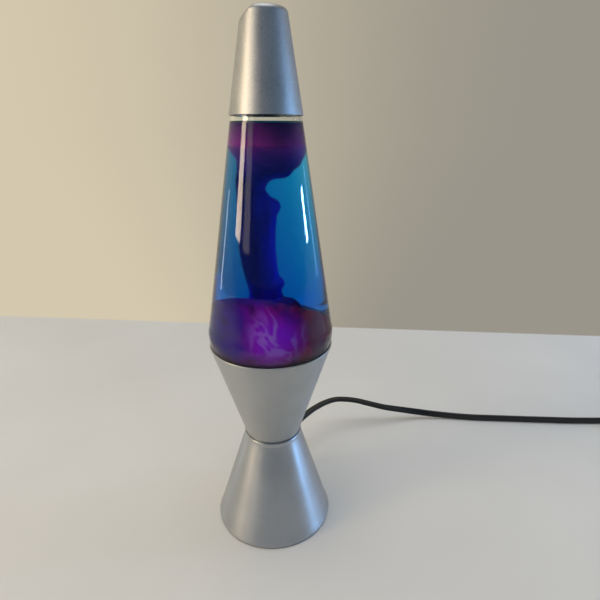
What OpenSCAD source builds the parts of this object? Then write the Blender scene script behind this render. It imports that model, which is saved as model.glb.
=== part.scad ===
// Lava lamp: a tapered glass globe on a spun metal base shaped like an hourglass, with a
// conical metal cap, a small bulb under the globe, and a flat lamp cord with an in-line switch.
// Millimetres, +Z up. The origin is on the table, under the middle of the base.

/* [Foot] */
// Diameter of the foot where it stands
foot_d = 92.2; // [84:0.2:120]
// Diameter of the foot at the waist
waist_d = 43.8; // [38:0.2:54]
// Height of the waist above the table
foot_h = 77.8; // [62:0.2:96]
// Wall of the foot and the cup
shell_t = 1; // [0.7:0.1:1.4]
// Radius of the rolled edge at the bottom of the foot
hem_r = 1; // [0.7:0.1:1.6]
// Radius of the rolled edge at the waist
lip_r = 0.7; // [0.5:0.1:1]

/* [Cup] */
// Diameter of the cup at its rim
cup_d = 89.8; // [82:0.2:112]
// Height of the cup above the waist
cup_h = 77.1; // [64:0.1:96]
// Radius of the rolled rim
rim_r = 0.8; // [0.5:0.1:1.2]

/* [Globe] */
// Widest diameter of the globe
globe_d = 90.4; // [84:0.2:114]
// Height of the globe from the cup's rim to the cap's lower edge
globe_h = 155.3; // [125:0.1:190]
// Diameter of the globe at the cap's lower edge
globe_top_d = 45; // [38:0.2:54]
// How far the globe's heel reaches down into the cup
heel_depth = 7.9; // [6:0.1:11]
// Wall of the glass
glass_t = 2.5; // [1.8:0.1:3.2]
// Thickness of the glass under the wax
glass_floor = 5; // [3:0.5:7]
// Height of the closed neck above the cap's lower edge
neck_h = 31; // [27:0.5:36]
// Outside diameter of the bottle lip
lip_d = 26.4; // [25:0.1:27.6]

/* [Cap] */
// Height of the cap
cap_h = 58.1; // [48:0.1:70]
// Diameter of the cap at its flat top
cap_top_d = 28.6; // [24:0.2:36]
// Wall of the cap
cap_t = 0.6; // [0.4:0.1:0.8]
// Depth of the flat dent in the cap's top edge
dent_depth = 5; // [0:0.1:5.6]
// How far the dent leans back from upright
dent_lean = 40; // [35:1:50]

/* [Wax and liquid] */
// Clear air between the cap's lower edge and the liquid
air_gap = 4; // [2:0.5:10]
// Height of the wax pool above the cup's rim
pool_h = 27; // [12:1:40]
// Depth of the wax that floats at the top
float_h = 33; // [15:1:50]
// Diameter of the wax column
column_d = 21; // [16:1:32]
// How far the column stands off the middle
column_x = -6.5; // [-8:0.5:4]

/* [Bulb] */
// Widest diameter of the bulb
bulb_d = 35; // [29:0.5:38]
// Length of the bulb's glass above its screw cap
bulb_glass_h = 35; // [31:0.5:38]
// Outside diameter of the bulb's screw cap
screw_d = 16.6; // [13:0.1:18]
// Length of the bulb's screw cap
screw_h = 19; // [16:0.5:22]
// Outside diameter of the lamp holder
holder_d = 27; // [24:0.5:32]

/* [Cord] */
// Width of the flat cord
cord_w = 6.8; // [5.4:0.1:7.2]
// Thickness of the flat cord
cord_t = 3.6; // [2.7:0.1:3.8]
// Height of the cord's hole in the foot
exit_z = 24; // [20:1:30]
// Direction of the cord's hole, round the foot from +X
exit_angle = 72; // [55:1:80]
// Length of the strain relief outside the foot
relief_l = 24; // [20:1:32]
// Length of the in-line switch
switch_l = 52; // [46:1:60]
// Width of the in-line switch
switch_w = 22; // [20:1:28]
// Height of the in-line switch
switch_h = 17; // [14:0.5:20]
// Outside diameter of the cord's coil
coil_d = 80; // [76:1:90]

/* [Hidden] */
$fn = 96;
SILVER = "#8f959c";
CAP_SILVER = "#7d8287";
STEEL = "#a7abae";
BRASS = "#c9a24a";
BLACK = "#1c1c1e";
GLASS = "#d5e6ea";

fit = 0.3;          // between pieces that come apart
run = 0.05;         // between a shaft and its hole
touch = 0.01;       // keeps cuts from ending on a face

// Foot and cup
lift = 0.8;                         // the rubber feet hold the hem off the table
foot_r = foot_d / 2;
waist_r = waist_d / 2;
foot_slope = (foot_r - waist_r) / (foot_h - lift);
cup_base_r = waist_r - lip_r - 0.6;
cup_r = cup_d / 2;
cup_slope = (cup_r - cup_base_r) / cup_h;
rim_z = foot_h + cup_h;
function foot_out(z) = foot_r - (z - lift) * foot_slope;
function cup_out(z) = cup_base_r + (z - foot_h) * cup_slope;

// Clamp through the waist
nipple_r = 4.8;
nipple_bore_r = 3.6;
washer_t = 1.2;
washer_r = 9;
nut_af = 15;
nut_h = 4;
nipple_below = 9;
nipple_above = 6;
nut_top = foot_h - shell_t - washer_t;

// Bottom cover
cover_z = 2.2;
cover_t = 1.2;
cover_r = foot_out(cover_z + cover_t) - shell_t - fit;
vent_count = 12;
vent_w = 3;
vent_in = 10;
vent_out = 25;
screw_angles = [20, 140, 260];
foot_angles = [80, 200, 320];
pad_r = 4.5;
screw_ring_r = cover_r - 7;
screw_r = 1.5;
screw_head_r = 3;
screw_head_h = 1.2;
clip_w = 9;
clip_t = 2.4;

// Lamp holder
holder_r = holder_d / 2;
holder_z = foot_h + shell_t;
holder_floor = 7;
socket_gap = 0.35;
shell_metal = 0.4;
screw_r_out = screw_d / 2;
thread_depth = 0.5;
thread_pitch = 2.8;
thread_count = 4;
thread_start = 0.8;
socket_r = screw_r_out + socket_gap + shell_metal;
contact_h = 1.6;
tip_h = 1.6;
insulator_h = 3;
bulb_z = holder_z + holder_floor + contact_h + 0.2;     // lowest point of the bulb
screw_z = bulb_z + tip_h + insulator_h;
screw_top = screw_z + screw_h - tip_h - insulator_h;
holder_top = screw_top - 1.5;
terminal_r = 1.6;
terminal_x = holder_r - 3;

// Globe
globe_r = globe_d / 2;
globe_top_r = globe_top_d / 2;
globe_top_z = rim_z + globe_h;
heel_z = rim_z - heel_depth;
seat_r = cup_r - rim_r;                 // middle of the rolled rim
belly_z = rim_z + 10.5;
shoulder_z = rim_z + 16;
lip_r2 = lip_d / 2;
neck_r = lip_r2 - 1.2;
lip_h = 5;
neck_z = globe_top_z + neck_h;
bore_r = lip_r2 - 3.4;
liquid_z = globe_top_z - air_gap;
pool_z = rim_z + pool_h;
float_z = liquid_z - float_h;

// Outline of the glass, from the middle of the bottom to the bottle's lip
glass_outside = [
    [0, heel_z + 2.5], [20, heel_z + 1.5], [seat_r - 10, heel_z], [seat_r - 6, heel_z],
    [seat_r - 3.6, heel_z + 1.4], [seat_r - 2.4, heel_z + 3.4], [seat_r - 1.7, rim_z - 0.9],
    [seat_r - 0.4, rim_z + 1.7], [globe_r - 0.7, rim_z + 4.5], [globe_r - 0.1, rim_z + 7.5],
    [globe_r, belly_z], [globe_r - 0.3, rim_z + 13.5], [globe_r - 1, shoulder_z],
    [globe_top_r, globe_top_z], [globe_top_r - 0.4, globe_top_z + 1.6],
    [globe_top_r - 2.2, globe_top_z + 8], [neck_r + 3.2, globe_top_z + 14],
    [neck_r + 0.9, neck_z - lip_h - 8], [neck_r, neck_z - lip_h - 4], [neck_r, neck_z - lip_h],
    [lip_r2, neck_z - lip_h + 1], [lip_r2, neck_z - 1], [lip_r2 - 1, neck_z]
];
// Outline of the space inside it, from the bottom to the mouth
glass_inside = [
    [0, heel_z + 2.5 + glass_floor], [seat_r - 14, heel_z + glass_floor + 0.5],
    [seat_r - 7.5, heel_z + glass_floor + 2], [seat_r - 4.4, heel_z + glass_floor + 5],
    [globe_r - 2.4 - glass_t, rim_z + 4], [globe_r - glass_t, belly_z],
    [globe_r - 1 - glass_t, shoulder_z], [globe_top_r - glass_t, globe_top_z],
    [globe_top_r - glass_t - 2, globe_top_z + 7], [neck_r + 0.6, globe_top_z + 13],
    [bore_r, neck_z - lip_h - 6], [bore_r, neck_z]
];

// Wire coil in the wax
wire_ring_r = 26;
wire_turn_r = 4;
wire_r = 0.5;
wire_turns = 22;
wire_steps = 10;
wire_z = heel_z + 2.5 + glass_floor + wire_turn_r + wire_r + 0.1;

// Crown closure on the lip
crown_t = 0.3;
crown_r = lip_r2 + 2.4;
crown_drop = 6;
flute_count = 21;
liner_t = 0.8;

// Cap
cap_r = globe_top_r + fit + cap_t;
cap_top_r = cap_top_d / 2;
cap_top_z = globe_top_z + cap_h;
cap_edge = 3.5;                         // radius of the rounded top edge
cap_slope = (cap_r - cap_top_r) / (cap_h - cap_edge);
edge_steps = 6;

// Strain relief in the foot's wall
exit_tilt = atan(foot_slope);
exit_r = foot_out(exit_z);
relief_neck_r = 5;
relief_flange_r = 6.6;
relief_flange_t = 1.6;
relief_root_r = 5.2;
relief_tip_r = 4.3;
relief_ribs = 5;
relief_inside = 6;

// Middle of the strain relief's end face, and the way it points
relief_way = [
    cos(exit_tilt) * cos(exit_angle), cos(exit_tilt) * sin(exit_angle), sin(exit_tilt)
];
relief_end = [exit_r * cos(exit_angle), exit_r * sin(exit_angle), exit_z] + relief_l * relief_way;

// Route of the cord on its way to the switch: x, y, z and how far its wide side is tipped up
switch_x = 392;
switch_y = 91;
table_z = cord_w / 2 + 0.1;
lead_route = [
    [24.5, 69.5, 33.3, 0], [30, 76, 33.9, 0], [36, 82.5, 34.4, 0], [42, 88.2, 34.9, 0],
    [47.5, 92.8, 35, 0], [53.5, 97.5, 35, 0], [62.5, 103, 34.5, 0], [72, 107, 33, 3], [88.5, 110, 29, 8],
    [105, 110, 24, 14], [122, 110.5, 18.5, 22], [140, 112.5, 13.5, 34],
    [158, 114, 9, 50], [175, 113.5, 6, 68], [192, 112, 4.2, 82], [208, 109.5, table_z, 90],
    [224.5, 106.5, table_z, 90], [240.5, 104.5, table_z, 90], [256.5, 102.5, table_z, 90],
    [272.5, 100.5, table_z, 90], [289, 98.5, table_z, 90], [306, 96.5, table_z, 90],
    [323, 94.5, table_z, 90], [340, 93, table_z, 90], [357, 91.8, table_z, 90],
    [374, 91.2, table_z, 90], [switch_x - 6, switch_y, table_z, 90]
];

// Plug, lying flat on its widest face, along -X
plug_l = 27;
plug_w = 24;
plug_h = 12;
plug_neck_l = 9;
blade_l = 17;
blade_w = 6.35;
blade_t = 1.5;
blade_gap = 12.7;

// Coil of the length that is put away, its two layers lying on the table
coil_x = 502;
coil_y = 126;
coil_turn_r = coil_d / 2 - cord_t / 2 - 1;
coil_turns_in = 3;
coil_pitch = cord_t + 0.2;
coil_hole_r = coil_turn_r - coil_turns_in * coil_pitch - cord_t / 2;
coil_h = 2 * cord_w + 0.3;
coil_start_y = coil_y - coil_turn_r;
mid_route = [
    [switch_x + switch_l, switch_y, table_z, 90],
    [switch_x + switch_l + 6, switch_y, table_z, 90],
    [switch_x + switch_l + 26, coil_start_y + 1, table_z, 90],
    [coil_x - 12, coil_start_y + 0.2, table_z, 90]
];
plug_x = coil_x - 16;
plug_y = coil_y + 53;
tail_route = [
    [coil_x + 34.5, coil_y + 4, 10.5, 90], [coil_x + 35.5, coil_y + 14, 10.5, 90],
    [coil_x + 34, coil_y + 26, 9.5, 90], [coil_x + 29, coil_y + 38, 6, 90],
    [coil_x + 20, coil_y + 47, 4, 75], [coil_x + 8, coil_y + 52, 4, 45],
    [coil_x - 4, coil_y + 53, 5, 15], [plug_x + 5, plug_y, plug_h / 2, 0],
    [plug_x, plug_y, plug_h / 2, 0]
];

// Switch and its rocker, along +X
switch_mid_x = switch_x + switch_l / 2;
switch_split = 0.42 * switch_h;
switch_wall = 1.8;
switch_end_r = 5;
rocker_l = 15;
rocker_w = 10;
rocker_gap = 0.4;
rocker_pin_r = 1.2;
rocker_pin_z = switch_h - switch_wall - rocker_pin_r - 0.6;
ear_w = 5;
rocker_rise = 2.4;
rocker_tip = 8;                 // degrees from flat to either side

// A tube of flat section along route points, each with its own tip angle
function unit(v) = v / norm(v);
function place(p) = [p[0], p[1], p[2]];
function along(route, i) =
    let (a = route[max(i - 1, 0)], b = route[min(i + 1, len(route) - 1)])
    unit(place(b) - place(a));
function flat_ring(w, t) = [
    [w / 2, t / 5], [w * 0.3, t / 2], [-w * 0.3, t / 2], [-w / 2, t / 5],
    [-w / 2, -t / 5], [-w * 0.3, -t / 2], [w * 0.3, -t / 2], [w / 2, -t / 5]
];
function ring_at(route, i, section, level) =
    let (
        t = along(route, i),
        side = unit(cross(level, t)),
        up = cross(t, side),
        tip = route[i][3],
        wide = cos(tip) * side + sin(tip) * up,
        thin = cos(tip) * up - sin(tip) * side
    )
    [for (q = section) place(route[i]) + q[0] * wide + q[1] * thin];
module skin(points, n) {
    rings = len(points) / n;
    sides = [
        for (i = [0 : rings - 2], j = [0 : n - 1])
            let (a = i * n + j, b = i * n + (j + 1) % n)
            each [[a, b, b + n], [a, b + n, a + n]]
    ];
    first = [for (j = [1 : n - 2]) [0, j + 1, j]];
    last = [for (j = [1 : n - 2]) [for (k = [0, j, j + 1]) (rings - 1) * n + k]];
    polyhedron(points, concat(sides, first, last));
}
module swept(route, section, level = [0, 0, 1]) {
    rings = [for (i = [0 : len(route) - 1]) each ring_at(route, i, section, level)];
    skin(rings, len(section));
}

// Space inside the foot, up to a height
module foot_inner_volume(top) {
    rotate_extrude()
        polygon([
            [0, lift], [foot_out(lift) - shell_t, lift],
            [foot_out(top) - shell_t, top], [0, top]
        ]);
}

// Places its children on the foot's wall at the cord's hole, +Z pointing straight out
module at_exit() {
    rotate([0, 0, exit_angle])
        translate([exit_r, 0, exit_z])
            rotate([0, 90 - exit_tilt, 0])
                children();
}

module foot_shell() {
    color(SILVER)
        difference() {
            rotate_extrude() {
                polygon([
                    [foot_out(lift + hem_r), lift + hem_r], [waist_r, foot_h],
                    [nipple_r + run, foot_h], [nipple_r + run, foot_h - shell_t],
                    [foot_out(foot_h - shell_t) - shell_t, foot_h - shell_t],
                    [foot_out(lift + hem_r) - shell_t, lift + hem_r]
                ]);
                translate([foot_r - hem_r, lift + hem_r])
                    circle(r = hem_r, $fn = 24);
                translate([waist_r - 0.3, foot_h])
                    circle(r = lip_r, $fn = 24);
            }
            at_exit()
                translate([0, 0, -relief_inside])
                    cylinder(r = relief_neck_r + run, h = 2 * relief_inside);
        }
}

module cup_shell() {
    color(SILVER)
        difference() {
            rotate_extrude() {
                polygon([
                    [nipple_r + run, foot_h], [cup_base_r, foot_h],
                    [cup_out(rim_z - rim_r), rim_z - rim_r],
                    [cup_out(rim_z - rim_r) - shell_t, rim_z - rim_r],
                    [cup_base_r - shell_t, foot_h + shell_t],
                    [nipple_r + run, foot_h + shell_t]
                ]);
                translate([seat_r, rim_z])
                    circle(r = rim_r, $fn = 24);
                translate([cup_out(rim_z - rim_r) - shell_t, rim_z - rim_r - touch])
                    square([shell_t, rim_r]);
            }
        }
}

module nipple() {
    color(STEEL)
        translate([0, 0, foot_h - nipple_below])
            difference() {
                cylinder(r = nipple_r, h = nipple_below + shell_t + nipple_above);
                translate([0, 0, -touch])
                    cylinder(r = nipple_bore_r, h = nipple_below + nipple_above + 2);
            }
}

module lock_washer() {
    color(STEEL)
        translate([0, 0, nut_top])
            difference() {
                cylinder(r = washer_r, h = washer_t);
                translate([0, 0, -touch])
                    cylinder(r = nipple_r + run, h = washer_t + 2 * touch);
            }
}

module nipple_nut() {
    color(BRASS)
        translate([0, 0, nut_top - nut_h])
            difference() {
                cylinder(d = nut_af / cos(30), h = nut_h, $fn = 6);
                translate([0, 0, -touch])
                    cylinder(r = nipple_r, h = nut_h + 2 * touch);
            }
}

module bottom_cover() {
    color("#4a4744")
        difference() {
            translate([0, 0, cover_z])
                cylinder(r = cover_r, h = cover_t);
            for (a = [0 : 360 / vent_count : 359])
                rotate([0, 0, a])
                    translate([vent_in, -vent_w / 2, cover_z - 1])
                        cube([vent_out - vent_in, vent_w, cover_t + 2]);
            for (a = screw_angles)
                rotate([0, 0, a])
                    translate([screw_ring_r, 0, cover_z - 1])
                        cylinder(r = screw_r + fit / 2, h = cover_t + 2);
        }
}

module cover_clips() {
    clip_top = 12;
    color(STEEL)
        intersection() {
            foot_inner_volume(clip_top + 10);
            for (a = screw_angles)
                rotate([0, 0, a])
                    difference() {
                        translate([screw_ring_r - 5, -clip_w / 2, cover_z + cover_t])
                            cube([20, clip_w, clip_top]);
                        translate([screw_ring_r - 6, -clip_w, cover_z + cover_t + clip_t])
                            rotate([0, -exit_tilt, 0])
                                cube([screw_ring_r, 2 * clip_w, 30]);
                        translate([screw_ring_r, 0, cover_z])
                            cylinder(r = screw_r, h = clip_top);
                    }
        }
}

module cover_screws() {
    color(STEEL)
        for (a = screw_angles)
            rotate([0, 0, a])
                translate([screw_ring_r, 0, cover_z - screw_head_h])
                    difference() {
                        union() {
                            cylinder(r = screw_head_r, h = screw_head_h);
                            cylinder(r = screw_r, h = screw_head_h + cover_t + clip_t + 3);
                        }
                        for (turn = [0, 90])
                            rotate([0, 0, turn])
                                translate([-1.6, -0.3, -touch])
                                    cube([3.2, 0.6, 0.7]);
                    }
}

module rubber_feet() {
    color(BLACK)
        for (a = foot_angles)
            rotate([0, 0, a])
                translate([screw_ring_r, 0, 0])
                    cylinder(r1 = pad_r - 0.4, r2 = pad_r, h = cover_z);
}

module lead_wires() {
    wire_section = [for (a = [0 : 45 : 315]) 1.2 * [cos(a), sin(a)]];
    inner_r = exit_r - relief_inside * cos(exit_tilt) - 1;
    inner_z = exit_z - relief_inside * sin(exit_tilt);
    wire_top = holder_z + 3;
    color(BLACK)
        for (s = [-1.5, 1.5]) {
            way = [
                [inner_r, inner_z], [inner_r - 8, inner_z - 1], [inner_r - 17, inner_z + 5],
                [8, inner_z + 20], [2, inner_z + 32], [0, nut_top - nut_h - 2], [0, wire_top]
            ];
            rotate([0, 0, exit_angle])
                swept([for (p = way) [p[0], s, p[1], 0]], wire_section, [0, 1, 0]);
        }
}

// Half outline of a rolled thread: rings of the thread's pitch on a radius r
function thread_line(r, z) = [
    for (i = [0 : thread_count - 1], j = [0 : 3])
        [r - [0, thread_depth, thread_depth, 0][j], z + (i + [0, 0.3, 0.6, 0.9][j]) * thread_pitch]
];

module holder_body() {
    color("#e9e4d8")
        difference() {
            translate([0, 0, holder_z])
                cylinder(r = holder_r, h = holder_top - holder_z);
            translate([0, 0, holder_z + holder_floor])
                cylinder(r = socket_r + run, h = holder_top);
            translate([0, 0, holder_z - touch])
                cylinder(r = nipple_r + run, h = nipple_above + touch);
            translate([0, 0, holder_z - touch])
                cylinder(r = nipple_bore_r - 1, h = holder_floor - 1);
            for (side = [-1, 1])
                translate([side * terminal_x, 0, holder_z - touch])
                    cylinder(r = terminal_r, h = 4);
        }
}

module holder_shell() {
    base_z = holder_z + holder_floor + contact_h + 2;
    color(BRASS)
        rotate_extrude()
            polygon(concat(
                [[socket_r - shell_metal, base_z]],
                thread_line(socket_r - shell_metal, screw_z + thread_start),
                [[socket_r - shell_metal, holder_top], [socket_r, holder_top], [socket_r, base_z]]
            ));
}

module holder_contact() {
    color(BRASS)
        translate([0, 0, holder_z + holder_floor]) {
            cylinder(r = 3, h = contact_h);
            translate([0, -2, 0])
                cube([socket_r - 1, 4, 0.6]);
        }
}

module holder_screws() {
    color(BRASS)
        for (side = [-1, 1])
            translate([side * terminal_x, 0, holder_z])
                cylinder(r = terminal_r, h = 4 - touch);
}

// Outline of the bulb's glass, pulled in by inset
function bulb_line(inset) =
    let (r = bulb_d / 2, mid = screw_top + bulb_glass_h - r)
    concat(
        [[screw_r_out - 1.4 - inset, screw_top - 4], [screw_r_out - 1.4 - inset, screw_top + 2]],
        [[(screw_r_out + r) / 2 - inset, screw_top + 0.45 * (mid - screw_top)]],
        [for (a = [-24 : 6 : 84]) [(r - inset) * cos(a), mid + (r - inset) * sin(a)]],
        [[0, mid + r - inset]]
    );

module bulb_glass() {
    color(GLASS, 0.5)
        rotate_extrude()
            polygon(concat(
                bulb_line(0),
                [for (i = [len(bulb_line(0)) - 1 : -1 : 0]) bulb_line(0.8)[i]]
            ));
}

module bulb_screw_cap() {
    color(BRASS)
        rotate_extrude()
            polygon(concat(
                [[screw_r_out - 2.6, screw_z], [screw_r_out - 1, screw_z]],
                thread_line(screw_r_out, screw_z + thread_start),
                [[screw_r_out, screw_top], [screw_r_out - 1.4, screw_top],
                 [screw_r_out - 1.4, screw_z + 1], [screw_r_out - 2.6, screw_z + 1]]
            ));
}

module bulb_insulator() {
    color(BLACK)
        translate([0, 0, screw_z - insulator_h])
            difference() {
                cylinder(r1 = screw_r_out - 3.7, r2 = screw_r_out - 2.6, h = insulator_h + 1);
                translate([0, 0, -touch])
                    cylinder(r = 1.4, h = insulator_h + 2);
            }
}

module bulb_tip() {
    color(STEEL)
        translate([0, 0, bulb_z]) {
            cylinder(r1 = 2.4, r2 = 3.6, h = tip_h);
            cylinder(r = 1.4, h = tip_h + insulator_h);
        }
}

module bulb_stem() {
    stem_top = screw_top + 13;
    color(GLASS, 0.6) {
        translate([0, 0, screw_z + 2])
            cylinder(r1 = 5, r2 = 2.2, h = 9);
        translate([0, 0, screw_z + 11 - touch])
            cylinder(r = 2.2, h = stem_top - screw_z - 11 - fit);
    }
}

module bulb_filament() {
    post_z = screw_top + 13;
    top_z = post_z + 9;
    color("#6a655c") {
        for (side = [-1, 1])
            translate([side * 1.6, 0, post_z])
                rotate([0, side * 30, 0])
                    cylinder(r = 0.3, h = 10.4, $fn = 16);
        translate([-6.9, 0, top_z])
            rotate([0, 90, 0])
                cylinder(r = 0.5, h = 13.8, $fn = 16);
    }
}

module globe_glass() {
    color(GLASS, 0.4)
        rotate_extrude()
            polygon(concat(
                glass_outside,
                [for (i = [len(glass_inside) - 1 : -1 : 0]) glass_inside[i]]
            ));
}

module glass_space() {
    rotate_extrude()
        polygon(concat(glass_inside, [[0, neck_z]]));
}

// The stretch of the space in the globe between two heights
module space_between(low, high) {
    intersection() {
        glass_space();
        translate([0, 0, low])
            cylinder(r = globe_r + 10, h = high - low);
    }
}

module wax() {
    color("#7a2a8c")
        union() {
            space_between(heel_z, pool_z);
            space_between(float_z, liquid_z);
            translate([column_x, 0, pool_z - 2])
                cylinder(d = column_d, h = float_z - pool_z + 4);
        }
}

module liquid() {
    color("#0a6fc0", 0.6)
        difference() {
            space_between(pool_z, float_z);
            translate([column_x, 0, pool_z - 2])
                cylinder(d = column_d, h = float_z - pool_z + 4);
        }
}

// One ring of points round the wire at step i, square to the wire
function wire_ring_at(i) =
    let (
        turn = i * 360 / wire_steps,
        a = turn / wire_turns,
        out = [cos(turn) * cos(a), cos(turn) * sin(a), sin(turn)],
        round = [-sin(a), cos(a), 0],
        middle = [wire_ring_r * cos(a), wire_ring_r * sin(a), wire_z]
    )
    [for (q = [0 : 72 : 288])
        middle + (wire_turn_r + wire_r * cos(q)) * out + wire_r * sin(q) * round];

module wire_coil() {
    color(STEEL)
        skin([for (i = [0 : wire_steps * wire_turns - 3]) each wire_ring_at(i)], 5);
}

module crown_closure() {
    skirt_z = neck_z + liner_t + crown_t - crown_drop;
    color(STEEL)
        difference() {
            rotate_extrude()
                polygon([
                    [0, neck_z + liner_t], [lip_r2 - 0.4, neck_z + liner_t],
                    [lip_r2 + 0.1, neck_z], [lip_r2 + 0.2, neck_z - 1],
                    [crown_r - crown_t, skirt_z], [crown_r, skirt_z],
                    [lip_r2 + 0.9, neck_z - 0.6], [lip_r2, neck_z + liner_t + crown_t],
                    [0, neck_z + liner_t + crown_t]
                ]);
            for (i = [0 : flute_count - 1])
                rotate([0, 0, i * 360 / flute_count])
                    translate([crown_r + 0.6, 0, skirt_z - 1])
                        cylinder(r = 1, h = 3, $fn = 24);
        }
}

module crown_liner() {
    color("#d9d4c4")
        translate([0, 0, neck_z])
            cylinder(r = lip_r2 - 0.6, h = liner_t);
}

// Outline of the cap, or of the space in it when inset is the cap's wall
module cap_form(inset) {
    edge_x = cap_top_r - cap_edge;
    edge_z = cap_top_z - cap_edge;
    r = cap_edge - inset;
    difference() {
        rotate_extrude()
            polygon(concat(
                [[0, globe_top_z - inset], [cap_r - inset + inset * cap_slope, globe_top_z - inset]],
                [for (i = [0 : edge_steps])
                    let (a = i * 90 / edge_steps)
                    [edge_x + r * cos(a), edge_z + r * sin(a)]],
                [[0, cap_top_z - inset]]
            ));
        translate([-cap_top_r, 0, cap_top_z])
            rotate([0, -dent_lean, 0])
                translate([-20, -20, -dent_depth - inset])
                    cube(40);
    }
}

module cap() {
    color(CAP_SILVER)
        difference() {
            cap_form(0);
            cap_form(cap_t);
        }
}

module strain_relief() {
    inner_face = shell_t + 0.8;
    color(BLACK)
        at_exit() {
            difference() {
                union() {
                    translate([0, 0, -relief_inside])
                        cylinder(r = relief_neck_r, h = relief_inside + touch);
                    cylinder(r = relief_flange_r, h = relief_flange_t);
                    cylinder(r1 = relief_root_r, r2 = relief_tip_r, h = relief_l);
                    translate([0, 0, -relief_inside])
                        cylinder(r = relief_flange_r, h = relief_inside - inner_face);
                }
                for (i = [1 : relief_ribs])
                    translate([0, 0, relief_flange_t + i * (relief_l - 6) / relief_ribs])
                        rotate_extrude()
                            translate([relief_tip_r - 0.1, -0.6])
                                square([4, 1.2]);
            }
        }
}

module cord_to_switch() {
    color(BLACK)
        swept(
            concat(
                [concat(relief_end, [0]), concat(relief_end + 5 * relief_way, [0])],
                lead_route,
                [[switch_x, switch_y, table_z, 90]]
            ),
            flat_ring(cord_w, cord_t)
        );
}

module cord_to_coil() {
    color(BLACK)
        swept(mid_route, flat_ring(cord_w, cord_t));
}

module cord_coil() {
    color(BLACK)
        translate([coil_x, coil_y, 0])
            rotate_extrude()
                translate([coil_hole_r, 0])
                    square([coil_d / 2 - coil_hole_r, coil_h]);
}

module cord_to_plug() {
    color(BLACK)
        swept(tail_route, flat_ring(cord_w, cord_t));
}

// Outer form of the switch, with rounded ends
module switch_form(inset) {
    l = switch_l / 2 - switch_end_r;
    w = switch_w / 2 - switch_end_r;
    translate([switch_mid_x, switch_y, 0])
        linear_extrude(switch_h)
            polygon(concat(
                [for (a = [0 : 10 : 90]) [l + (switch_end_r - inset) * cos(a), w + (switch_end_r - inset) * sin(a)]],
                [for (a = [90 : 10 : 180]) [-l + (switch_end_r - inset) * cos(a), w + (switch_end_r - inset) * sin(a)]],
                [for (a = [180 : 10 : 270]) [-l + (switch_end_r - inset) * cos(a), -w + (switch_end_r - inset) * sin(a)]],
                [for (a = [270 : 10 : 360]) [l + (switch_end_r - inset) * cos(a), -w + (switch_end_r - inset) * sin(a)]]
            ));
}

// Room inside the switch between two heights
module switch_room(low, high) {
    intersection() {
        switch_form(switch_wall);
        translate([switch_x, switch_y - switch_w, low])
            cube([switch_l, 2 * switch_w, high - low]);
    }
}

module switch_bottom() {
    color(BLACK)
        difference() {
            switch_form(0);
            switch_room(switch_wall, switch_h);
            translate([switch_x - 1, switch_y - switch_w, switch_split])
                cube([switch_l + 2, 2 * switch_w, switch_h]);
            translate([switch_mid_x + 16, switch_y, -1])
                cylinder(r = 1.3, h = switch_wall + 2);
        }
}

module switch_top() {
    color(BLACK)
        difference() {
            switch_form(0);
            switch_room(-1, switch_h - switch_wall);
            translate([switch_x - 1, switch_y - switch_w, -1])
                cube([switch_l + 2, 2 * switch_w, switch_split + 1]);
            translate([switch_mid_x - rocker_l / 2 - rocker_gap, switch_y - rocker_w / 2 - rocker_gap, switch_split])
                cube([rocker_l + 2 * rocker_gap, rocker_w + 2 * rocker_gap, switch_h]);
        }
    color(BLACK)
        translate([switch_mid_x, switch_y, 0])
            for (side = [-1, 1])
                mirror([0, side < 0 ? 1 : 0, 0])
                    difference() {
                        translate([-ear_w / 2, rocker_w / 2 + rocker_gap, rocker_pin_z - 2.4])
                            cube([ear_w, 1.8, switch_h - switch_wall - rocker_pin_z + 2.4]);
                        translate([0, rocker_w / 2, rocker_pin_z])
                            rotate([-90, 0, 0])
                                cylinder(r = rocker_pin_r + run, h = 4);
                    }
}

module switch_rocker() {
    crown_z = switch_h + rocker_rise;
    color("#2a2a2c")
        translate([switch_mid_x, switch_y, rocker_pin_z])
            rotate([0, rocker_tip, 0]) {
                intersection() {
                    translate([-rocker_l / 2 + 0.6, -rocker_w / 2, -1])
                        cube([rocker_l - 1.2, rocker_w, crown_z - rocker_pin_z + 1]);
                    difference() {
                        translate([-rocker_l, -rocker_w, -2])
                            cube([2 * rocker_l, 2 * rocker_w, 20]);
                        translate([0, 0, crown_z - rocker_pin_z + 24.4])
                            rotate([90, 0, 0])
                                cylinder(r = 25, h = 3 * rocker_w, center = true);
                    }
                }
                rotate([90, 0, 0])
                    cylinder(r = rocker_pin_r, h = rocker_w + 1.2 * 2, center = true);
            }
}

module switch_screw() {
    color(STEEL)
        translate([switch_mid_x + 16, switch_y, 0.3]) {
            cylinder(r = 1.3, h = switch_split + 3);
        }
}

module switch_contacts() {
    color(BRASS)
        for (side = [-1, 1])
            translate([switch_mid_x + side * 6 - 2, switch_y - 4, switch_wall])
                cube([4, 8, 4]);
}

module plug_body() {
    color(BLACK)
        translate([plug_x, plug_y, 0])
            rotate([0, 0, 180]) {
                translate([0, -cord_w / 2 - 1, plug_h / 2 - cord_t / 2 - 1])
                    cube([plug_neck_l + touch, cord_w + 2, cord_t + 2]);
                translate([plug_neck_l, -plug_w / 2, 0])
                    cube([plug_l - plug_neck_l, plug_w, plug_h]);
            }
}

module plug_blades() {
    color(BRASS)
        translate([plug_x - plug_l, plug_y, plug_h / 2])
            for (side = [-1, 1])
                translate([-blade_l, side * blade_gap / 2 - blade_t / 2, -blade_w / 2])
                    cube([blade_l, blade_t, blade_w]);
}

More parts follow.
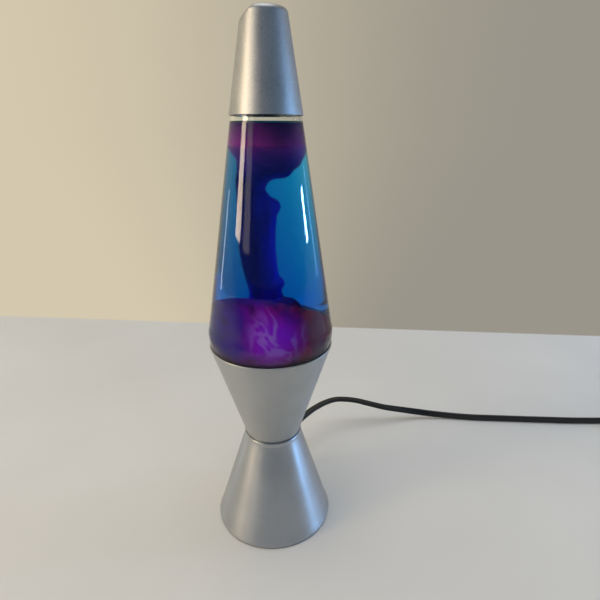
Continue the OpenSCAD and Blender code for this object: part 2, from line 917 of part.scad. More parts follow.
foot_shell();
cup_shell();
nipple();
lock_washer();
nipple_nut();
bottom_cover();
cover_clips();
cover_screws();
rubber_feet();
lead_wires();
holder_body();
holder_shell();
holder_contact();
holder_screws();
bulb_glass();
bulb_screw_cap();
bulb_insulator();
bulb_tip();
bulb_stem();
bulb_filament();
globe_glass();
crown_closure();
crown_liner();
liquid();
wax();
wire_coil();
cap();
strain_relief();
cord_to_switch();
cord_to_coil();
cord_coil();
cord_to_plug();
switch_bottom();
switch_top();
switch_rocker();
switch_screw();
switch_contacts();
plug_body();
plug_blades();
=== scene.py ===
import math
import bmesh
import bpy
import numpy as np
from mathutils import Matrix, Vector


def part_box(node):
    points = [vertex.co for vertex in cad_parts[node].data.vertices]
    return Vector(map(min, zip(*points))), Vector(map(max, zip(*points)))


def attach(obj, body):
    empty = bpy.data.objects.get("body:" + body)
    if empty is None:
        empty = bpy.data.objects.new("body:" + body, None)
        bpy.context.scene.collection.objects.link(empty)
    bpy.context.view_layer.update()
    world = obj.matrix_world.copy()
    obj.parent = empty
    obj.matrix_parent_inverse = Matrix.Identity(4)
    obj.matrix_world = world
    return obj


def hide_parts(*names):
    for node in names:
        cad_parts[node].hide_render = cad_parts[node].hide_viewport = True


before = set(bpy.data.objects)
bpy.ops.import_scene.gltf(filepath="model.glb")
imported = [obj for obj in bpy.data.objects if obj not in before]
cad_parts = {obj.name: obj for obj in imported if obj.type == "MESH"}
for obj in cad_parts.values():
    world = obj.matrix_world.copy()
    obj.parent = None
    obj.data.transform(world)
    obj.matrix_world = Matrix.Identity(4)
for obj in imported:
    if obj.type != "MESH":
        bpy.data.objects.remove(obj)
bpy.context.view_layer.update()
mm = 0.001


print("frame loaded,", len(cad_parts), "nodes")

cameraView = {
    "place": (0, -306.66, 300.35),   # mm
    "down": 20.294,                  # degrees below level
    "right": 4.005,                  # degrees to the right of +Y
    "roll": 0.137,
    "lens": 27.18,
    "sensor": 36.0,
}


def makeCamera():
    data = bpy.data.cameras.new("camera")
    data.lens = cameraView["lens"]
    data.sensor_width = cameraView["sensor"]
    camera = bpy.data.objects.new("camera", data)
    turn = (Matrix.Rotation(math.radians(-cameraView["right"]), 4, "Z")
            @ Matrix.Rotation(math.radians(90 - cameraView["down"]), 4, "X")
            @ Matrix.Rotation(math.radians(cameraView["roll"]), 4, "Z"))
    camera.matrix_world = Matrix.Translation(Vector(cameraView["place"]) * mm) @ turn
    bpy.context.scene.collection.objects.link(camera)
    bpy.context.scene.camera = camera


# Mesh helpers. They take millimetres and make the piece in metres, in the lamp's own frame.

def boxMm(node):
    low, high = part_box(node)
    return [x / mm for x in low], [x / mm for x in high]


def meshPiece(name, points, faces, sharpAngle=35.0, uvs=None):
    mesh = bpy.data.meshes.new(name)
    mesh.from_pydata([tuple(float(c) * mm for c in p) for p in points], [], faces)
    if uvs is not None:
        layer = mesh.uv_layers.new(name="UVMap")
        layer.data.foreach_set("uv", np.array(uvs, dtype=float).ravel())
    mesh.shade_smooth()
    mesh.set_sharp_from_angle(angle=math.radians(sharpAngle))
    piece = bpy.data.objects.new(name, mesh)
    bpy.context.scene.collection.objects.link(piece)
    return piece


def arc(cx, cz, r, start, end, steps=8):
    angles = np.radians(np.linspace(start, end, steps + 1))
    return [(cx + r * math.cos(a), cz + r * math.sin(a)) for a in angles]


def cutCorners(outline, rounds=2, closed=False):
    # Chaikin's corner cutting: long straight runs stay straight
    line = [np.array(p, dtype=float) for p in outline]
    for _ in range(rounds):
        pairs = list(zip(line, line[1:] + line[:1])) if closed else list(zip(line, line[1:]))
        cut = []
        for a, b in pairs:
            length = np.linalg.norm(b - a)
            step = min(0.25 * length, 1.2)
            t = step / max(length, 1e-9)
            cut += [a + t * (b - a), b - t * (b - a)]
        line = cut if closed else [line[0]] + cut + [line[-1]]
    return [tuple(p) for p in line]


def lathe(name, outline, closed=True, segments=144, sharpAngle=35.0):
    # The outline runs up on the outside and down on the inside, so faces point outwards.
    # An open outline starts and ends on the axis.
    rows = len(outline)
    points, ringAt = [], []
    run = [0.0]
    for a, b in zip(outline, list(outline[1:]) + [outline[0]]):
        run.append(run[-1] + math.hypot(b[0] - a[0], b[1] - a[1]))
    turns = 2 * np.pi * np.arange(segments) / segments
    for r, z in outline:
        ringAt.append(len(points))
        if r < 1e-6:
            points.append((0.0, 0.0, z))
        else:
            points += [(r * math.cos(a), r * math.sin(a), z) for a in turns]
    faces, uvs = [], []
    for i in range(rows if closed else rows - 1):
        j = (i + 1) % rows
        poleI, poleJ = outline[i][0] < 1e-6, outline[j][0] < 1e-6
        for s in range(segments):
            t = (s + 1) % segments
            u0, u1 = s / segments, (s + 1) / segments
            v0, v1 = run[i] / 100, run[i + 1] / 100
            if poleI and poleJ:
                continue
            if poleI:
                faces.append((ringAt[i], ringAt[j] + t, ringAt[j] + s))
                uvs += [(u0, v0), (u1, v1), (u0, v1)]
            elif poleJ:
                faces.append((ringAt[i] + s, ringAt[i] + t, ringAt[j]))
                uvs += [(u0, v0), (u1, v0), (u0, v1)]
            else:
                faces.append((ringAt[i] + s, ringAt[i] + t, ringAt[j] + t, ringAt[j] + s))
                uvs += [(u0, v0), (u1, v0), (u1, v1), (u0, v1)]
    return meshPiece(name, points, faces, sharpAngle, uvs)


def smoothRoute(points, step=2.0):
    # Catmull-Rom through the points, then spaced evenly; extra columns ride along
    p = np.array(points, dtype=float)
    p = np.vstack([2 * p[0] - p[1], p, 2 * p[-1] - p[-2]])
    fine = []
    for i in range(1, len(p) - 2):
        for t in np.linspace(0, 1, 16, endpoint=False):
            fine.append(0.5 * (2 * p[i] + (p[i + 1] - p[i - 1]) * t
                               + (2 * p[i - 1] - 5 * p[i] + 4 * p[i + 1] - p[i + 2]) * t ** 2
                               + (3 * p[i] - p[i - 1] - 3 * p[i + 1] + p[i + 2]) * t ** 3))
    fine = np.array(fine + [p[-2]])
    along = np.concatenate([[0], np.cumsum(np.linalg.norm(np.diff(fine[:, :3], axis=0), axis=1))])
    at = np.linspace(0, along[-1], max(2, int(along[-1] / step)))
    return np.stack([np.interp(at, along, fine[:, k]) for k in range(fine.shape[1])], axis=1)


def sweep(name, route, section, sharpAngle=40.0):
    # route rows are x, y, z and the tip of the section's wide side in degrees
    n, rings = len(section), len(route)
    way = np.gradient(route[:, :3], axis=0)
    way /= np.linalg.norm(way, axis=1)[:, None]
    side = np.cross([0, 0, 1], way)
    side /= np.linalg.norm(side, axis=1)[:, None]
    up = np.cross(way, side)
    tip = np.radians(route[:, 3])[:, None]
    wide = np.cos(tip) * side + np.sin(tip) * up
    thin = np.cos(tip) * up - np.sin(tip) * side
    points = []
    for i in range(rings):
        points += [route[i, :3] + q[0] * wide[i] + q[1] * thin[i] for q in section]
    along = np.concatenate([[0], np.cumsum(np.linalg.norm(np.diff(route[:, :3], axis=0), axis=1))])
    faces, uvs = [], []
    for i in range(rings - 1):
        v0, v1 = along[i] / 100, along[i + 1] / 100
        for j in range(n):
            k = (j + 1) % n
            faces.append((i * n + j, i * n + k, (i + 1) * n + k, (i + 1) * n + j))
            uvs += [(j / n, v0), ((j + 1) / n, v0), ((j + 1) / n, v1), (j / n, v1)]
    faces.append(tuple(range(n - 1, -1, -1)))
    faces.append(tuple((rings - 1) * n + j for j in range(n)))
    uvs += [(0, 0)] * (2 * n)
    return meshPiece(name, points, faces, sharpAngle, uvs)


def softened(node, bevel, segments=3, name=None):
    # The CAD node's own solid with its edges rounded off, in mm
    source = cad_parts[node]
    mesh = source.data.copy()
    work = bmesh.new()
    work.from_mesh(mesh)
    work.transform(source.matrix_world)
    bmesh.ops.remove_doubles(work, verts=work.verts, dist=1e-6)
    bmesh.ops.dissolve_limit(work, angle_limit=math.radians(1), verts=work.verts, edges=work.edges)
    work.to_mesh(mesh)
    work.free()
    mesh.materials.clear()
    piece = bpy.data.objects.new(name or node + "Rounded", mesh)
    bpy.context.scene.collection.objects.link(piece)
    edge = piece.modifiers.new("edges", "BEVEL")
    edge.width = bevel * mm
    edge.segments = segments
    edge.limit_method = "ANGLE"
    edge.angle_limit = math.radians(40)
    edge.harden_normals = False
    applyModifiers(piece)
    piece.data.shade_smooth()
    piece.data.set_sharp_from_angle(angle=math.radians(35))
    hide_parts(node)
    return piece


def applyModifiers(piece):
    graph = bpy.context.evaluated_depsgraph_get()
    graph.update()
    done = bpy.data.meshes.new_from_object(piece.evaluated_get(graph))
    piece.modifiers.clear()
    piece.data = done


makeCamera()

# The cord comes first: its route is the one that the CAD solids follow

cordSize = {
    "width": 6.8, "thickness": 3.6, "lobeGap": 1.6,
    "exitAngle": 72, "exitHeight": 24, "exitRadius": 38.81, "wallTilt": 17.45,
    "reliefLength": 24, "tableZ": 3.5,
    "switchX": 392, "switchY": 91, "switchLength": 52,
    "coilX": 502, "coilY": 126, "coilRadius": 37.2, "coilPitch": 3.8,
    "innerTurns": 3, "outerTurns": 2.27, "layerZ": 10.5,
}


def exitFrame():
    # Where the cord's hole is, and which way it points
    c = cordSize
    a, tilt = math.radians(c["exitAngle"]), math.radians(c["wallTilt"])
    place = np.array([c["exitRadius"] * math.cos(a), c["exitRadius"] * math.sin(a), c["exitHeight"]])
    way = np.array([math.cos(tilt) * math.cos(a), math.cos(tilt) * math.sin(a), math.sin(tilt)])
    return place, way


def leadRoute():
    c = cordSize
    place, way = exitFrame()
    end = place + c["reliefLength"] * way
    z = c["tableZ"]
    return [
        [*(end - 4 * way), 0], [*(end + 5 * way), 0],
        [24.5, 69.5, 33.3, 0], [30, 76, 33.9, 0], [36, 82.5, 34.4, 0], [42, 88.2, 34.9, 0],
        [47.5, 92.8, 35, 0], [53.5, 97.5, 35, 0], [62.5, 103, 34.5, 0], [72, 107, 33, 3], [88.5, 110, 29, 8],
        [105, 110, 24, 14], [122, 110.5, 18.5, 22], [140, 112.5, 13.5, 34],
        [158, 114, 9, 50], [175, 113.5, 6, 68], [192, 112, 4.2, 82], [208, 109.5, z, 90],
        [224.5, 106.5, z, 90], [240.5, 104.5, z, 90], [256.5, 102.5, z, 90],
        [272.5, 100.5, z, 90], [289, 98.5, z, 90], [306, 96.5, z, 90],
        [323, 94.5, z, 90], [340, 93, z, 90], [357, 91.8, z, 90],
        [374, 91.2, z, 90], [c["switchX"] - 6, c["switchY"], z, 90],
        [c["switchX"], c["switchY"], z, 90],
    ]


def coilRoute():
    # Turns wound inwards on the table, then outwards on top of them
    c = cordSize
    rows = []
    inner = c["coilRadius"] - c["innerTurns"] * c["coilPitch"]
    for k in range(int(24 * (c["innerTurns"] + c["outerTurns"])) + 1):
        turn = k / 24
        a = math.radians(-90 + 360 * turn)
        if turn <= c["innerTurns"]:
            r = c["coilRadius"] - turn * c["coilPitch"]
        else:
            r = inner + (turn - c["innerTurns"]) * c["coilPitch"]
        climb = min(1, max(0, (turn - c["innerTurns"] + 0.2) / 0.4))
        climb = climb * climb * (3 - 2 * climb)
        z = c["tableZ"] + climb * (c["layerZ"] - c["tableZ"])
        rows.append([c["coilX"] + r * math.cos(a), c["coilY"] + r * math.sin(a), z, 90])
    return rows


def tailRoute():
    x, y = cordSize["coilX"], cordSize["coilY"]
    return [
        [x + 35.5, y + 14, 10.5, 90], [x + 34, y + 26, 9.5, 90], [x + 29, y + 38, 6, 90],
        [x + 20, y + 47, 4, 75], [x + 8, y + 52, 4, 45], [x - 4, y + 53, 5, 15],
        [x - 11, y + 53, 6, 0], [x - 16, y + 53, 6, 0], [x - 20, y + 53, 6, 0],
    ]


def wholeRoute():
    c = cordSize
    far = c["switchX"] + c["switchLength"]
    z = c["tableZ"]
    middle = [[far, c["switchY"], z, 90], [far + 6, c["switchY"], z, 90],
              [far + 26, c["coilY"] - c["coilRadius"] + 1, z, 90]]
    return leadRoute() + middle + coilRoute() + tailRoute()


def cordSection():
    # Two round cores side by side with a groove between them
    c = cordSize
    r = c["thickness"] / 2
    section = []
    section += arc(c["lobeGap"], 0, r, -115, 115, 11)
    section += arc(-c["lobeGap"], 0, r, 65, 295, 11)
    return section


def makeCord():
    route = smoothRoute(wholeRoute(), step=2.2)
    cord = sweep("flatCord", route, cordSection(), sharpAngle=60)
    length = float(np.linalg.norm(np.diff(route[:, :3], axis=0), axis=1).sum())
    print("cord length", round(length), "mm")
    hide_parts("cord_to_switch", "cord_to_coil", "cord_coil", "cord_to_plug")
    return cord, route, length


cord, cordPath, cordLength = makeCord()

# Strain relief: a ribbed, tapered sleeve that fits the foot's wall

reliefSize = {"root": 5.3, "tip": 4.2, "flange": 6.6, "flangeThick": 1.6, "neck": 5.0, "ribs": 6}


def makeRelief():
    s, length = reliefSize, cordSize["reliefLength"]
    line = [(0, -6), (s["flange"] - 0.6, -6), (s["flange"], -5.4), (s["flange"], -1.8),
            (s["neck"], -1.8), (s["neck"], 0.05), (s["flange"] - 0.3, 0.05)]
    line += arc(s["flange"] - 0.5, s["flangeThick"] - 0.5, 0.5, 0, 90, 4)
    pitch = (length - s["flangeThick"] - 2.2) / s["ribs"]
    for i in range(s["ribs"]):
        z = s["flangeThick"] + 0.6 + i * pitch
        r = s["root"] + (s["tip"] - s["root"]) * i / s["ribs"]
        line += [(r - 0.9, z - 0.2), (r - 0.9, z + 0.5)]
        line += arc(r - 0.3, z + 1.0, 0.3, -90, 0, 2)[1:]
        line += arc(r - 0.3, z + pitch - 0.9, 0.3, 0, 90, 2)
    line += [(s["tip"] - 0.9, length - 1.0)]
    line += arc(s["tip"] - 0.6, length - 0.6, 0.6, -60, 90, 4)
    line += [(0, length)]
    relief = lathe("strainReliefSleeve", line, closed=False, segments=48)
    place, way = exitFrame()
    turn = Vector(way).to_track_quat("Z", "Y").to_matrix().to_4x4()
    relief.data.transform(Matrix.Translation(Vector(place) * mm) @ turn)
    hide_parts("strain_relief")
    return relief


relief = makeRelief()
print("cord made")

# Spun metal: foot, cup and cap

footLow, footHigh = boxMm("foot_shell")
cupLow, cupHigh = boxMm("cup_shell")
capLow, capHigh = boxMm("cap")

footForm = {"radius": footHigh[0], "lift": footLow[2], "waist": cupLow[2], "waistRadius": 21.9,
            "wall": 1.0, "hem": 1.0, "lip": 0.95, "bore": 4.85}
cupForm = {"base": 20.6, "rimRadius": cupHigh[0], "rimZ": cupHigh[2] - 0.8, "wall": 1.0,
           "rim": 0.65, "bore": 4.85}
capForm = {"radius": 23.4, "low": capLow[2], "top": capHigh[2], "topRadius": 14.3,
           "edge": 3.5, "wall": 0.6, "dent": 5.1, "dentLean": 54, "dentSoft": 0.4}


def makeFoot():
    f = footForm
    slope = (f["radius"] - f["waistRadius"]) / (f["waist"] - f["lift"])
    outAt = lambda z: f["radius"] - (z - f["lift"]) * slope
    hemZ = f["lift"] + f["hem"]
    lean = math.degrees(math.atan(slope))
    outline = arc(f["radius"] - f["hem"], hemZ, f["hem"], -200, lean, 16)
    outline += [(outAt(z), z) for z in np.linspace(6, f["waist"] - 2.5, 12)]
    outline += arc(f["waistRadius"] - 0.45, f["waist"], f["lip"], -20, 170, 12)
    top = f["waist"] - 0.02
    outline += [(f["waistRadius"] - 1.2, top), (f["bore"], top), (f["bore"], f["waist"] - f["wall"])]
    outline += arc(outAt(f["waist"] - 2) - f["wall"] - 1, f["waist"] - f["wall"] - 1, 1, 90, lean, 4)
    outline += [(outAt(z) - f["wall"], z) for z in np.linspace(f["waist"] - 4, hemZ + 1, 8)]
    foot = lathe("footSpun", outline, segments=192)
    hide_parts("foot_shell")
    return foot


def makeCup():
    c = cupForm
    slope = (c["rimRadius"] - c["base"]) / (c["rimZ"] - cupLow[2])
    outAt = lambda z: c["base"] + (z - cupLow[2]) * slope
    low = cupLow[2] + 0.02
    outline = [(c["bore"], low), (c["base"] - 0.3, low)]
    outline += arc(c["base"] - 0.3, low + 0.3, 0.3, -80, -15, 3)
    outline += [(outAt(z), z) for z in np.linspace(low + 2, c["rimZ"] - 1.6, 12)]
    outline += arc(c["rimRadius"] - c["rim"], c["rimZ"], c["rim"], -20, 205, 14)
    outline += [(outAt(z) - c["wall"], z) for z in np.linspace(c["rimZ"] - 1.4, low + 4, 10)]
    outline += arc(c["base"] - c["wall"] - 0.9, low + c["wall"] + 1, 1, -20, -90, 4)
    outline += [(c["bore"], low + c["wall"])]
    cup = lathe("cupSpun", outline, segments=192)
    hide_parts("cup_shell")
    return cup


def capOutline(inset):
    # From the lower edge up the side, round the top edge and in to the axis
    c = capForm
    side = c["topRadius"] - inset
    bottom = c["radius"] - inset
    edgeZ = c["top"] - c["edge"]
    line = [(bottom + (side - bottom) * t, c["low"] + (edgeZ - c["low"]) * t)
            for t in np.concatenate([np.linspace(0, 0.8, 12), np.linspace(0.82, 0.99, 10)])]
    line += arc(c["topRadius"] - c["edge"], edgeZ, c["edge"] - inset, 8, 86, 10)
    line += [(r, c["top"] - inset) for r in np.linspace(c["topRadius"] - c["edge"] - 0.3, 1, 9)]
    return line + [(0, c["top"] - inset)]


def makeCap():
    c = capForm
    inner, outer = capOutline(c["wall"]), capOutline(0)
    outer[0] = (outer[0][0], outer[0][1] + 0.15)
    outline = inner[::-1] + [(c["radius"] - 0.35, c["low"] - 0.02)] + outer
    cap = lathe("capSpun", outline, closed=False, segments=192)
    corner = np.array([-c["topRadius"], 0, c["top"]])
    lean = math.radians(c["dentLean"])
    out = np.array([-math.cos(lean), 0, math.sin(lean)])
    innerRows = 1 + 192 * (len(inner) - 1)
    for i, v in enumerate(cap.data.vertices):
        p = np.array(v.co) / mm
        past = (p - corner) @ out + c["dent"] + (c["wall"] if i < innerRows else 0)
        push = c["dentSoft"] * np.logaddexp(0, past / c["dentSoft"])
        v.co = Vector((p - push * out) * mm)
    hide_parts("cap")
    return cap


foot, cup, cap = makeFoot(), makeCup(), makeCap()
print("spun metal made")

# Globe: thick-bottomed bottle, the blue liquid in it and the wax

globe = {"seat": 44.1, "heel": 147.0, "rim": cupForm["rimZ"], "radius": 45.2, "wall": 2.5,
         "topZ": capForm["low"], "topRadius": 22.5, "mouth": 341.2, "liquidZ": 306.2}


def bottleOutside():
    g = globe
    s, h, z, r = g["seat"], g["heel"], g["rim"], g["radius"]
    low = [(0, h + 2.5), (20, h + 1.5), (s - 10, h), (s - 6, h), (s - 3.6, h + 1.4),
           (s - 2.4, h + 3.4), (s - 1.05, z - 0.9), (s + 0.05, z + 1.3), (r - 0.7, z + 4.5),
           (r - 0.1, z + 7.5), (r, z + 10.5), (r - 0.3, z + 13.5), (r - 1, z + 16)]
    high = [(g["topRadius"], g["topZ"]), (22.1, 311.8), (20.3, 318.2), (15.2, 324.2),
            (12.9, 328.2), (12, 332.2), (12, 336.2), (13.2, 337.2), (13.2, 340.2), (12.2, 341.2)]
    return cutCorners(low + high, 3)


def bottleInside():
    # From the middle of the floor to the mouth
    g = globe
    s, h, z, r, w = g["seat"], g["heel"], g["rim"], g["radius"], g["wall"]
    line = [(0, h + 7.5), (s - 14, h + 5.3), (s - 6.5, h + 5.6), (s - 3.6, h + 7.6), (s - 2.6, z + 1.2),
            (r - 0.9 - w, z + 5), (r - w, z + 10.5), (r - 1 - w, z + 16),
            (g["topRadius"] - w, g["topZ"]), (18, 317.2), (12.6, 323.2), (9.8, 330.2),
            (9.8, g["mouth"])]
    return cutCorners(line, 3)


def insideRadius(z):
    # Radius of the inner wall at a height, or at many, above the floor's rounded corner
    line = bottleInside()
    start = next(i for i, p in enumerate(line) if p[1] > globe["heel"] + 8)
    return np.interp(z, [p[1] for p in line[start:]], [p[0] for p in line[start:]])


def makeBottle():
    outside, inside = bottleOutside(), bottleInside()
    outline = outside + inside[::-1]
    bottle = lathe("globeBottle", outline, closed=False, segments=192, sharpAngle=50)
    # Faces of the inner wall that the liquid touches get the second slot
    first = 192 * (len(outside) - 1)
    for face in bottle.data.polygons:
        inner = face.index >= first
        face.material_index = 1 if inner and face.center.z / mm < globe["liquidZ"] else 0
    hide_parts("globe_glass")
    return bottle


def makeLiquid():
    g = globe
    gap = 0.06
    wall = [(max(r - gap, 0), z + gap) for r, z in bottleInside() if z < g["liquidZ"] - 1.2]
    top = insideRadius(g["liquidZ"]) - gap
    surface = [(top, g["liquidZ"] + 0.5), (top - 0.25, g["liquidZ"] + 0.35),
               (top - 0.7, g["liquidZ"] + 0.1), (top - 1.5, g["liquidZ"]), (0, g["liquidZ"])]
    liquid = lathe("blueLiquidFill", wall + surface, closed=False, segments=192, sharpAngle=60)
    for face in liquid.data.polygons:
        face.material_index = 1 if face.center.z / mm > g["liquidZ"] - 0.2 and face.normal.z > 0.3 else 0
    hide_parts("liquid")
    return liquid


# Wax: pool, rising column and the mass under the surface, as rows of middle x and y, radius, height, and how
# far the row tilts down towards +X and +Y
waxRows = {
    "column": [(0, 0, 42.6, 176.5, 0.195, 0.566), (-1, -3, 37, 179.5, 0.16, 0.52),
               (-1.0, -5, 31, 182, 0.12, 0.42), (-1.5, -5, 25, 184, 0.08, 0.28),
               (-2.0, -3, 18, 186, 0.05, 0.15), (-2.0, 0, 13, 188, 0.02, 0.04),
               (-2.0, 0, 10, 190.5, 0, 0), (-2.6, 0, 9.2, 195, 0, 0), (-4.0, 0, 9.6, 204, 0, 0),
               (-5.6, 0, 10.0, 215, 0, 0), (-6.6, 0, 10.3, 226, 0, 0), (-6.6, 0, 10.5, 238, 0, 0),
               (-6.0, 0, 10.8, 248, 0, 0), (-7.2, 0, 9.6, 258, 0, 0), (-9.2, 0, 7.8, 265, 0, 0),
               (-8.2, 0, 9.0, 270, 0, 0), (-3.0, 0, 13.0, 275, 0.1, 0), (0.5, 0, 16.5, 281, 0.12, 0),
               (0, 0, 19.5, 287, 0.1, 0), (0, 0, 21.5, 292, 0.02, 0)],
    "levelBehind": 12,
    "knobs": [((0.6, -3, 254), 6.4), ((3.3, 1, 201), 5.2), ((7, -2, 278.5), 7.0),
              ((-15, -24, 187), 10), ((9, -26, 188), 11)],
    "inset": 0.35, "voxel": 1.0, "poolEdge": 162, "topEdge": 292,
}


def waxBody():
    # A closed stack of rings, with the knobs as balls sunk into it
    g, w = globe, waxRows
    rows = [(0, 0, max(r - w["inset"], 0), z + w["inset"], 0, 0)
            for r, z in bottleInside() if z < w["poolEdge"]]
    rows += w["column"]
    rows += [(0, 0, insideRadius(z) - w["inset"], z, 0, 0) for z in (295, 300, g["liquidZ"] - 0.6)]
    n = 96
    points, faces = [], []
    for cx, cy, r, z, tiltX, tiltY in rows[1:]:
        for k in range(n):
            a = 2 * math.pi * k / n
            x, y = cx + r * math.cos(a), cy + r * math.sin(a)
            points.append((x, y, z - tiltX * x - tiltY * min(y, w["levelBehind"])))
    for i in range(len(rows) - 2):
        for k in range(n):
            m = (k + 1) % n
            faces.append((i * n + k, i * n + m, (i + 1) * n + m, (i + 1) * n + k))
    faces.append(tuple(range(n - 1, -1, -1)))
    faces.append(tuple((len(rows) - 2) * n + k for k in range(n)))
    body = meshPiece("waxMass", points, faces)
    work = bmesh.new()
    work.from_mesh(body.data)
    for centre, r in w["knobs"]:
        ball = bmesh.ops.create_icosphere(work, subdivisions=4, radius=r * mm)
        bmesh.ops.translate(work, verts=ball["verts"], vec=Vector(centre) * mm)
    work.to_mesh(body.data)
    work.free()
    return body


def makeWax():
    wax = waxBody()
    remesh = wax.modifiers.new("voxels", "REMESH")
    remesh.mode = "VOXEL"
    remesh.voxel_size = waxRows["voxel"] * mm
    soft = wax.modifiers.new("soft", "SMOOTH")
    soft.factor = 0.5
    soft.iterations = 14
    applyModifiers(wax)
    count = len(wax.data.vertices)
    co = np.empty(count * 3)
    wax.data.vertices.foreach_get("co", co)
    co = co.reshape(-1, 3) / mm
    limit = insideRadius(co[:, 2]) - waxRows["inset"]
    r = np.hypot(co[:, 0], co[:, 1])
    # The pool and the top mass lie against the wall; the column stays as it is
    near = r > limit - 2.2
    edge = waxRows["column"][0]
    line = edge[3] - edge[4] * co[:, 0] - edge[5] * np.minimum(co[:, 1], waxRows["levelBehind"])
    against = near & ((co[:, 2] < line + 0.5) | (co[:, 2] > waxRows["topEdge"]))
    target = np.where(against, limit, np.minimum(r, limit))
    high = co[:, 2] > waxRows["poolEdge"] - 1
    scale = np.where(high, target / np.maximum(r, 1e-6), 1)
    co[:, 0] *= scale
    co[:, 1] *= scale
    wax.data.vertices.foreach_set("co", (co * mm).ravel())
    wax.data.shade_smooth()
    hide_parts("wax")
    return wax


bottle, liquid, wax = makeBottle(), makeLiquid(), makeWax()
print("globe made, wax faces", len(wax.data.polygons))

# Bought-in and moulded pieces keep the CAD solids' shape, with their edges rounded off

bottomCover = softened("bottom_cover", 0.3, 2)
feet = softened("rubber_feet", 0.6, 3)
holder = softened("holder_body", 0.5, 3)
switchLower = softened("switch_bottom", 1.0, 4)
switchUpper = softened("switch_top", 1.0, 4)
rocker = softened("switch_rocker", 0.4, 3)
plugBody = softened("plug_body", 1.2, 4)


def addNode(tree, kind, settings=None, inputs=None):
    # Inputs are by name or number; a socket is linked and anything else is set
    node = tree.nodes.new(kind)
    for key, value in (settings or {}).items():
        if key == "stops":
            for i, (at, colour) in enumerate(value):
                mark = node.color_ramp.elements[i] if i < 2 else node.color_ramp.elements.new(at)
                mark.position, mark.color = at, toLinear(colour)
        else:
            setattr(node, key, value)
    for key, value in (inputs or {}).items():
        if isinstance(value, bpy.types.NodeSocket):
            tree.links.new(value, node.inputs[key])
        else:
            node.inputs[key].default_value = value
    return node


def toLinear(colour):
    values = [int(colour[i:i + 2], 16) / 255 for i in (1, 3, 5)]
    return [v / 12.92 if v <= 0.04045 else ((v + 0.055) / 1.055) ** 2.4 for v in values] + [1.0]


# Grip ribs: rows of short rounded bars, made once for the rocker and once for the plug

ribRows = {
    "rocker": {"count": 5, "pitch": 2.0, "length": 8.0, "width": 0.9, "height": 0.9},
    "plug": {"count": 7, "pitch": 2.2, "length": 13.0, "width": 1.1, "height": 1.0},
}


def ribTree():
    tree = bpy.data.node_groups.new("gripRibs", "GeometryNodeTree")
    face = tree.interface
    for label, value in (("Pitch", 0.002), ("Length", 0.008), ("Width", 0.001), ("Height", 0.001)):
        socket = face.new_socket(name=label, in_out="INPUT", socket_type="NodeSocketFloat")
        socket.default_value = value
    face.new_socket(name="Count", in_out="INPUT", socket_type="NodeSocketInt")
    face.new_socket(name="Finish", in_out="INPUT", socket_type="NodeSocketMaterial")
    face.new_socket(name="Geometry", in_out="OUTPUT", socket_type="NodeSocketGeometry")
    given = addNode(tree, "NodeGroupInput").outputs
    step = addNode(tree, "ShaderNodeCombineXYZ", None, {0: given["Pitch"]}).outputs[0]
    row = addNode(tree, "GeometryNodeMeshLine", {"mode": "OFFSET"},
                  {"Count": given["Count"], "Offset": step}).outputs[0]
    size = addNode(tree, "ShaderNodeCombineXYZ", None,
                   {0: given["Width"], 1: given["Length"], 2: given["Height"]}).outputs[0]
    bar = addNode(tree, "GeometryNodeMeshUVSphere", None, {"Segments": 16, "Rings": 10, "Radius": 0.5})
    # A ball pushed towards a block gives a bar with round edges
    where = addNode(tree, "GeometryNodeInputPosition").outputs[0]
    grown = addNode(tree, "ShaderNodeVectorMath", {"operation": "SCALE"},
                    {0: where, "Scale": 1.9}).outputs[0]
    least = addNode(tree, "ShaderNodeVectorMath", {"operation": "MAXIMUM"},
                    {0: grown, 1: (-0.5, -0.5, -0.5)}).outputs[0]
    block = addNode(tree, "ShaderNodeVectorMath", {"operation": "MINIMUM"},
                    {0: least, 1: (0.5, 0.5, 0.5)}).outputs[0]
    mixed = addNode(tree, "ShaderNodeMix", {"data_type": "VECTOR"}, {0: 0.6, 4: where, 5: block}).outputs[1]
    sized = addNode(tree, "ShaderNodeVectorMath", {"operation": "MULTIPLY"}, {0: mixed, 1: size}).outputs[0]
    bar = addNode(tree, "GeometryNodeSetPosition", None, {"Geometry": bar.outputs[0], "Position": sized})
    bars = addNode(tree, "GeometryNodeInstanceOnPoints", None,
                   {"Points": row, "Instance": bar.outputs[0]}).outputs[0]
    real = addNode(tree, "GeometryNodeRealizeInstances", None, {0: bars}).outputs[0]
    done = addNode(tree, "GeometryNodeSetMaterial", None, {"Geometry": real, "Material": given["Finish"]})
    addNode(tree, "NodeGroupOutput", None, {0: done.outputs[0]})
    return tree


def ribRow(name, sizes, tree, finish, place):
    mesh = bpy.data.meshes.new(name)
    piece = bpy.data.objects.new(name, mesh)
    bpy.context.scene.collection.objects.link(piece)
    rows = piece.modifiers.new("ribs", "NODES")
    rows.node_group = tree
    wanted = {"Pitch": sizes["pitch"] * mm, "Length": sizes["length"] * mm, "Width": sizes["width"] * mm,
              "Height": sizes["height"] * mm, "Count": sizes["count"], "Finish": finish}
    for item in tree.interface.items_tree:
        if item.in_out == "INPUT" and item.name in wanted:
            rows[item.identifier] = wanted[item.name]
    applyModifiers(piece)
    half = (sizes["count"] - 1) * sizes["pitch"] / 2
    piece.data.transform(place @ Matrix.Translation(Vector((-half, 0, 0)) * mm))
    piece.data.shade_smooth()
    return piece


# Finishes

smooth = {"interpolation_type": "SMOOTHSTEP"}
rgba = {"data_type": "RGBA"}
timesPlus = {"operation": "MULTIPLY_ADD"}


